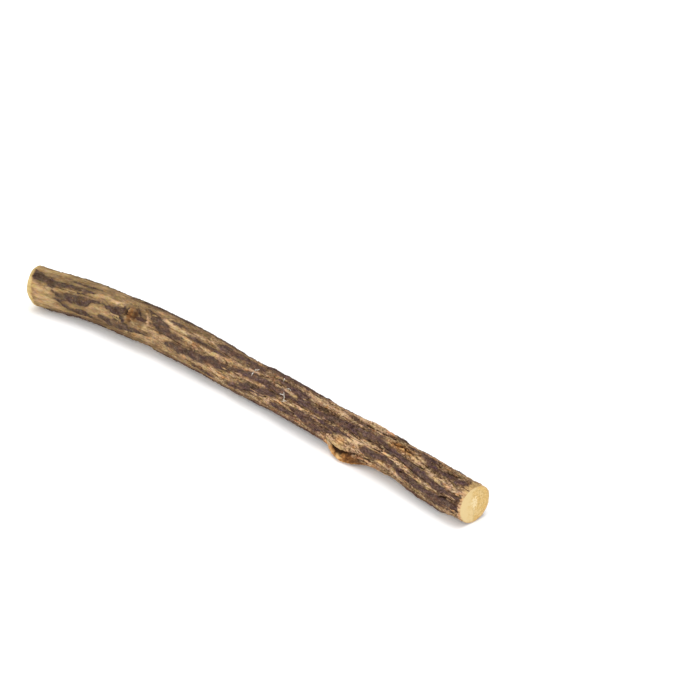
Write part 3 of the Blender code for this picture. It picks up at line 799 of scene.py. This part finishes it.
# Painted shade in the cracks, slots and hollows, over the darker wood of the gashes
colour = blend_colour(tree, times(tree, crack_shade, 0.96), colour, ramp(tree, crack_shade, CRACK_SHADE_RAMP))
tree.links.new(colour, shader.inputs["Base Color"])
tree.links.new(spread(tree, speck, 0.3, 0.7, 0.78, 0.95), shader.inputs["Roughness"])
shader.inputs["Specular IOR Level"].default_value = 0.08
ridge = times(tree, plus(tree, times(tree, fine_fibre, 0.4), times(tree, speck, 0.6)), crisp)
roughened(tree, shader, ridge, 0.9, 0.00018)
for skin in (bark_far, bark_near):
    skin.data.materials.append(bark_material)
    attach(skin, "root")
    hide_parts("stalk")

# Slivers: thin strips of bark and bast that have curled up beside the plates and the knots.
# Each grew as part of the bark, split off as it dried, and still hangs on at one end.
SLIVER_COUNT = 190
SLIVER_ROWS = 9
SLIVER_COLUMNS = 4
SLIVER_THICKNESS = 0.07
SLIVER_TRIES = 1600
MM_PER_DEGREE = 0.082
sliver_draw = random.Random(29)
candidates = np.array([
    (sliver_draw.uniform(2.0, 144.0), sliver_draw.uniform(40.0, 400.0)) for _ in range(SLIVER_TRIES)
])
candidate_edge = skin_relief(candidates[:, 0], candidates[:, 1])[1]["edge"]
loose_here = (candidates[:, 0] > 66.0) | (np.abs(candidates[:, 0] - 35.0) < 5.0)
sliver_roots = candidates[loose_here & (np.abs(candidate_edge + 0.05) < 0.22)][:SLIVER_COUNT]
sliver_s, sliver_a, sliver_lift, sliver_kinds = [], [], [], []
for root_s, root_a in sliver_roots:
    length = sliver_draw.uniform(1.2, 4.2) * sliver_draw.choice((-1, 1))
    width = sliver_draw.uniform(0.25, 0.70)
    slant = sliver_draw.uniform(-0.16, 0.16)
    curl = sliver_draw.uniform(0.05, 0.19)
    rows, columns = np.linspace(0, 1, SLIVER_ROWS), np.linspace(-1, 1, SLIVER_COLUMNS)
    along, across = np.meshgrid(rows, columns, indexing="ij")
    taper = np.sqrt(np.clip(1.02 - along ** 2.2, 0, 1)) * (0.75 + 0.25 * np.sin(9 * along + root_a))
    sliver_s.append(root_s + length * along)
    sliver_a.append(root_a + (0.5 * width * across * taper + slant * length * along) / MM_PER_DEGREE)
    sliver_lift.append(curl * along ** 1.6 - 0.05 * (1 - along) + 0.04 * (1 - across ** 2))
    dark = sliver_draw.random() < 0.45
    tone_here, hue_here = sliver_draw.uniform(-0.8, 0.7), sliver_draw.uniform(-0.6, 0.6)
    sliver_kinds.append((0.9 if dark else -1.2, tone_here, hue_here))
sliver_s, sliver_a, sliver_lift = np.array(sliver_s), np.array(sliver_a), np.array(sliver_lift)


def outward(s, a):
    """The direction straight out of the skin."""
    tx, ty = heart(s)[4:]
    th = np.radians(a)
    return np.stack([-ty * np.cos(th), tx * np.cos(th), np.sin(th)], -1)


def over_skin(s, a, lift):
    """Points at some mm over the skin, kept inside the stick's box."""
    points = skin_points(s, a)[0] + outward(s, a) * lift[..., None] * MM
    return np.clip(points, np.array(cad_low) + TRIM_MARGIN, np.array(cad_high) - TRIM_MARGIN)


under_side = over_skin(sliver_s, sliver_a, sliver_lift)
upper_side = over_skin(sliver_s, sliver_a, sliver_lift + SLIVER_THICKNESS)
sliver_points, sliver_faces = [], []
per_side = SLIVER_ROWS * SLIVER_COLUMNS
rim = ([(i, 0) for i in range(SLIVER_ROWS)] + [(SLIVER_ROWS - 1, j) for j in range(1, SLIVER_COLUMNS)]
       + [(i, SLIVER_COLUMNS - 1) for i in range(SLIVER_ROWS - 2, -1, -1)]
       + [(0, j) for j in range(SLIVER_COLUMNS - 2, 0, -1)])
for n in range(len(sliver_s)):
    base = 2 * n * per_side
    flipped = sliver_s[n, -1, 0] < sliver_s[n, 0, 0]
    faces = []
    for i in range(SLIVER_ROWS - 1):
        for j in range(SLIVER_COLUMNS - 1):
            k = i * SLIVER_COLUMNS + j
            quad = (k, k + SLIVER_COLUMNS, k + SLIVER_COLUMNS + 1, k + 1)
            faces.append(quad)
            faces.append(tuple(per_side + v for v in quad[::-1]))
    for (i, j), (k, m) in zip(rim, rim[1:] + rim[:1]):
        low, high = i * SLIVER_COLUMNS + j, k * SLIVER_COLUMNS + m
        faces.append((high, low, per_side + low, per_side + high))
    sliver_faces += [tuple(base + v for v in (face[::-1] if flipped else face)) for face in faces]
    sliver_points += [under_side[n].reshape(-1, 3), upper_side[n].reshape(-1, 3)]

sliver_mesh = bpy.data.meshes.new("bark_slivers")
sliver_mesh.from_pydata(np.concatenate(sliver_points).tolist(), [], sliver_faces)
flat_s = np.repeat(sliver_s.reshape(len(sliver_s), 1, -1), 2, axis=1).ravel()
flat_a = np.repeat(sliver_a.reshape(len(sliver_a), 1, -1), 2, axis=1).ravel()
each_kind = np.repeat(np.array(sliver_kinds), 2 * per_side, axis=0)
write_kinds(sliver_mesh, {
    "place": texture_place(flat_s, flat_a),
    "edge": each_kind[:, 0], "tone": each_kind[:, 1], "hue": each_kind[:, 2],
})
sliver_mesh.update()
sliver_mesh.shade_smooth()
slivers = set_down("bark_slivers", sliver_mesh)
slivers.data.materials.append(bark_material)
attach(slivers, "root")
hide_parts("stalk")

# Rootlets: a few hair-fine pale threads, dried onto the bark near the middle of the stick.
# They cling where small roots or moulds once held, and lie along the relief.
ROOTLETS = (
    ((75.8, 132), (75.6, 123), (75.3, 117)),
    ((75.0, 110), (75.7, 107), (76.5, 104)),
    ((84.3, 101), (84.0, 94), (83.4, 84)),
    ((86.7, 117), (87.4, 112), (88.2, 115)),
    ((87.0, 130), (87.6, 138), (87.7, 146), (88.0, 152)),
    ((87.3, 158), (88.1, 152), (88.7, 148)),
    ((86.1, 140), (86.8, 138), (87.5, 137)),
)
ROOTLET_RADIUS = 0.080
ROOTLET_SIDES = 6
MOTTLES_PER_METRE = 2500.0
rootlet_material, tree = new_material("dried_rootlet")
shader = tree.nodes["Principled BSDF"]
coordinates = tree.nodes.new("ShaderNodeTexCoord").outputs["Object"]
mottled = spread(tree, noisy(tree, coordinates, (MOTTLES_PER_METRE,) * 3, 2.0, 0.6), 0.35, 0.65)
thread = blend_colour(tree, mottled, (0.40, 0.35, 0.29), (0.72, 0.69, 0.63))
tree.links.new(thread, shader.inputs["Base Color"])
shader.inputs["Roughness"].default_value = 0.85
for number, chain in enumerate(ROOTLETS, 1):
    path = curve_through(chain, 6)
    wander = 0.05 * np.sin(np.arange(len(path)) * 1.7 + number)
    line = over_skin(path[:, 0] + wander, path[:, 1], np.full(len(path), 0.05))
    run = np.gradient(line, axis=0)
    run /= np.linalg.norm(run, axis=1)[:, None]
    sideways = np.cross(run, outward(path[:, 0], path[:, 1]))
    sideways /= np.linalg.norm(sideways, axis=1)[:, None]
    upward = np.cross(sideways, run)
    knots = 1.0 + 0.45 * np.sin(np.arange(len(path)) * 1.1 + 2.3 * number)
    size = ROOTLET_RADIUS * knots * np.sin(np.linspace(0.12, math.pi - 0.12, len(path))) ** 0.5 * MM
    round_it = np.linspace(0, 2 * math.pi, ROOTLET_SIDES, endpoint=False)
    rings = (line[:, None] + sideways[:, None] * (np.cos(round_it)[:, None] * size[:, None, None])
             + upward[:, None] * (np.sin(round_it)[:, None] * size[:, None, None]))
    rings = np.clip(rings, np.array(cad_low), np.array(cad_high))
    rootlet = rolled_mesh(f"rootlet_{number}", rings, {}, capped=True)
    rootlet.data.materials.append(rootlet_material)
    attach(rootlet, "root")
    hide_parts("stalk")

# The sawn ends: pale dry wood, cut square at the near end and on a slant at the far one.
# Each is a disc of rings drawn in from the bark's edge, with the blade's marks and a soft pith.
FACE_RINGS = 26


def sawn_face(name, rim, inwards, pith_shift, seed, inward):
    """A disc filled in from its rim, a little rough, with its places measured from the pith."""
    middle = rim.mean(axis=0)
    across = np.cross(inwards, (0.0, 0.0, 1.0))
    across /= np.linalg.norm(across)
    upward = np.cross(across, inwards)
    pith = middle + (across * pith_shift[0] + upward * pith_shift[1]) * MM
    share = np.concatenate([[0.0, 0.012, 0.03], np.linspace(0.06, 1.0, FACE_RINGS - 3)])
    points = rim[None] + (pith - rim)[None] * share[:, None, None]
    flat = np.stack([(points - pith) @ across, (points - pith) @ upward], -1) / MM
    depth = np.zeros(flat.shape[:2])
    for i in range(flat.shape[0]):
        for j in range(flat.shape[1]):
            u, v = flat[i, j]
            saw = noise.noise((0.35 * u + 0.2 * v + seed, 3.4 * v - 1.2 * u, seed))
            torn = noise.noise((1.7 * u, 1.7 * v, seed + 5.0))
            depth[i, j] = 0.035 * saw + 0.05 * torn + 0.06
    depth *= rise(share, 0.0, 0.06)[:, None]
    radius = np.hypot(flat[..., 0], flat[..., 1])
    depth += 0.10 * (1 - rise(radius, 0.2, 0.55))
    points = points + inwards * depth[..., None] * MM
    kinds = {"cut_place": np.concatenate([flat, np.full(flat.shape[:2] + (1,), seed)], -1),
             "edge": np.broadcast_to(share[:, None], flat.shape[:2]).copy()}
    return rolled_mesh(name, points, kinds, inward)


def sawn_material(name, pale, warm):
    """Dry sawn wood with faint growth rings, a pale pith and a thin rusty layer under the bark."""
    material, tree = new_material(name)
    shader = tree.nodes["Principled BSDF"]
    place = read_kind(tree, "cut_place", "Vector")
    edge = read_kind(tree, "edge", "Fac")
    wood = noisy(tree, place, (0.7, 0.7, 1.0), 4.0, 0.6, 0.5)
    crumb = noisy(tree, place, (2.6, 2.6, 1.0), 5.0, 0.75)
    parts = parted(tree, place)
    across, upward = parts["X"], parts["Y"]
    # The blade left one half smooth and tore the other into crumbs
    torn = spread(tree, plus(tree, across, spread(tree, wood, 0.3, 0.7, -1.2, 1.2)), -2.4, 1.8)
    rings = new_node(tree, "ShaderNodeTexWave", {
        "Vector": place, "Scale": 0.27, "Distortion": 4.5, "Detail": 4.0, "Detail Scale": 0.7,
    }, wave_type="RINGS", rings_direction="Z")
    colour = blend_colour(tree, times(tree, torn, spread(tree, wood, 0.25, 0.6, 0.3, 1.0)), pale, warm)
    ring_lines = times(tree, spread(tree, rings.outputs["Fac"], 0.62, 1.0, 0.0, 0.55), torn)
    colour = blend_colour(tree, ring_lines, colour, (0.54, 0.36, 0.130))
    crumbs = times(tree, spread(tree, crumb, 0.52, 0.62, 0.0, 0.9), torn)
    colour = blend_colour(tree, crumbs, colour, (0.40, 0.25, 0.080))
    bright = times(tree, spread(tree, crumb, 0.46, 0.34, 0.0, 0.8), torn)
    colour = blend_colour(tree, bright, colour, (0.86, 0.73, 0.46))
    # A drying crack runs from the pith down to the rim
    off_line = plus(tree, across, spread(tree, wood, 0.3, 0.7, 0.1, 0.5))
    off_line = new_node(tree, "ShaderNodeMath", {0: off_line}, operation="ABSOLUTE").outputs[0]
    check = spread(tree, off_line, 0.13, 0.03)
    check = times(tree, check, spread(tree, upward, -0.9, -1.5, 0.0, 0.55))
    colour = blend_colour(tree, check, colour, (0.42, 0.30, 0.13))
    # The pith is a tall, frayed patch of whiter crumbs
    tall_place = scaled(tree, place, (1.15, 0.60, 0.0))
    from_pith = new_node(tree, "ShaderNodeVectorMath", {0: tall_place}, operation="LENGTH")
    frayed = plus(tree, from_pith.outputs["Value"], spread(tree, crumb, 0.35, 0.65, -0.7, 0.7))
    colour = blend_colour(tree, spread(tree, frayed, 1.05, 0.50, 0.0, 0.60), colour, (0.88, 0.74, 0.47))
    colour = blend_colour(tree, spread(tree, edge, 0.075, 0.03, 0.0, 0.6), colour, (0.55, 0.36, 0.18))
    tree.links.new(colour, shader.inputs["Base Color"])
    shader.inputs["Roughness"].default_value = 0.88
    shader.inputs["Specular IOR Level"].default_value = 0.2
    roughened(tree, shader, times(tree, crumb, torn), 0.6, 0.00010)
    return material


near_tx, near_ty = heart(np.array(STALK_LENGTH))[4:]
near_inwards = np.array([-near_tx, -near_ty, 0.0])
near_face = sawn_face("near_cut", bark_points[-1], near_inwards, (0.5, 0.3), 3.0, False)
near_face.data.materials.append(sawn_material("sawn_wood_near", (0.70, 0.535, 0.270), (0.66, 0.435, 0.150)))
far_rim = bark_points[0]
third = SKIN_SIDES // 3
far_normal = np.cross(far_rim[0] - far_rim[third], far_rim[2 * third] - far_rim[third])
far_normal /= np.linalg.norm(far_normal)
if far_normal[0] < 0:
    far_normal = -far_normal
far_face = sawn_face("far_cut", far_rim, far_normal, (-0.3, 0.4), 8.0, True)
far_face.data.materials.append(sawn_material("sawn_wood_far", (0.62, 0.50, 0.27), (0.54, 0.40, 0.18)))
for face in (near_face, far_face):
    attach(face, "root")
    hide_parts("stalk")

# The table, light and camera of the picture. They aren't part of the stalk.
# A pale matt surface under one broad soft light from above and a fill from the viewer's side.
floor_mesh = bpy.data.meshes.new("table_top")
floor_mesh.from_pydata([(-3, -3, 0), (3, -3, 0), (3, 3, 0), (-3, 3, 0)], [], [(0, 1, 2, 3)])
floor = set_down("table_top", floor_mesh)
floor_material, tree = new_material("pale_table")
shader = tree.nodes["Principled BSDF"]
shader.inputs["Base Color"].default_value = (0.94, 0.94, 0.94, 1.0)
shader.inputs["Roughness"].default_value = 0.9
shader.inputs["Specular IOR Level"].default_value = 0.1
floor.data.materials.append(floor_material)


def soft_light(name, place, aim, size, power, colour):
    """A square soft box that looks at a point."""
    lamp = bpy.data.lights.new(name, "AREA")
    lamp.shape = "SQUARE"
    lamp.size = size
    lamp.energy = power
    lamp.color = colour
    light = set_down(name, lamp)
    light.location = place
    light.rotation_euler = (Vector(aim) - Vector(place)).to_track_quat("-Z", "Y").to_euler()


soft_light("top_softbox", (0.10, 0.08, 0.95), (0.0, 0.0, 0.0), 0.60, 4.0, (1.0, 1.0, 1.0))
soft_light("front_fill", (-0.15, -1.00, 0.27), (0.0, 0.0, 0.0), 0.50, 6.5, (1.0, 1.0, 1.0))
world = bpy.data.worlds.new("studio")
world.use_nodes = True
background = world.node_tree.nodes["Background"]
background.inputs["Color"].default_value = (1.0, 1.0, 1.0, 1.0)
background.inputs["Strength"].default_value = 0.98
bpy.context.scene.world = world
bpy.context.scene.view_settings.view_transform = "Standard"

CAMERA_PLACE = (0.3582, -0.3445, 0.3000)
CAMERA_TILT = 60.0
CAMERA_TURN = 43.28
camera_data = bpy.data.cameras.new("camera")
camera_data.sensor_width = 36.0
camera_data.lens = 125.5
camera_data.clip_start = 0.01
camera_data.clip_end = 20.0
camera = set_down("camera", camera_data)
camera.location = CAMERA_PLACE
camera.rotation_euler = (math.radians(CAMERA_TILT), 0.0, math.radians(CAMERA_TURN))
bpy.context.scene.camera = camera
